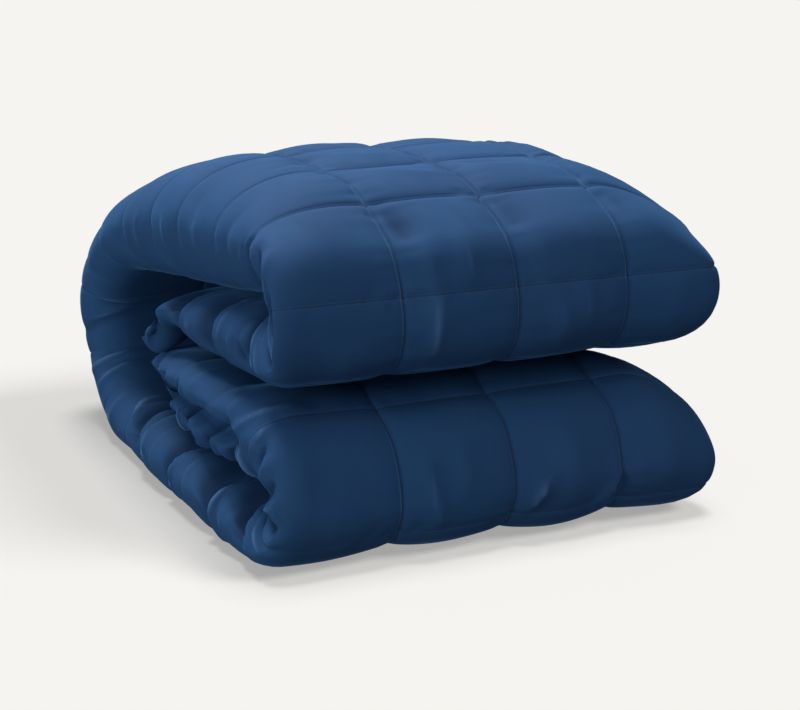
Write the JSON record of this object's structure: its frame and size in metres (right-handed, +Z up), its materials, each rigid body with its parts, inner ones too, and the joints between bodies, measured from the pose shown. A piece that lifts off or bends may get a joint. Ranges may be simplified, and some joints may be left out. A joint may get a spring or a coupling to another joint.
{
  "type": "folded weighted blanket",
  "caption": "Quilted weighted blanket folded into a soft stack, with plump squares, rounded fold ends and an open hollow behind its hems.",
  "frame": {"origin": "on the floor, under the middle of the bounding box", "axes": "+Z up, -Y towards the front where both folded edges are, +X along the folded edges to the right"},
  "size_m": [0.4397, 0.5523, 0.3023],
  "materials": {
    "navy_microfibre": "brushed microfibre with a soft sheen"
  },
  "bodies": {
    "root": {"quilted_blanket": "navy_microfibre"}
  },
  "joints": []
}
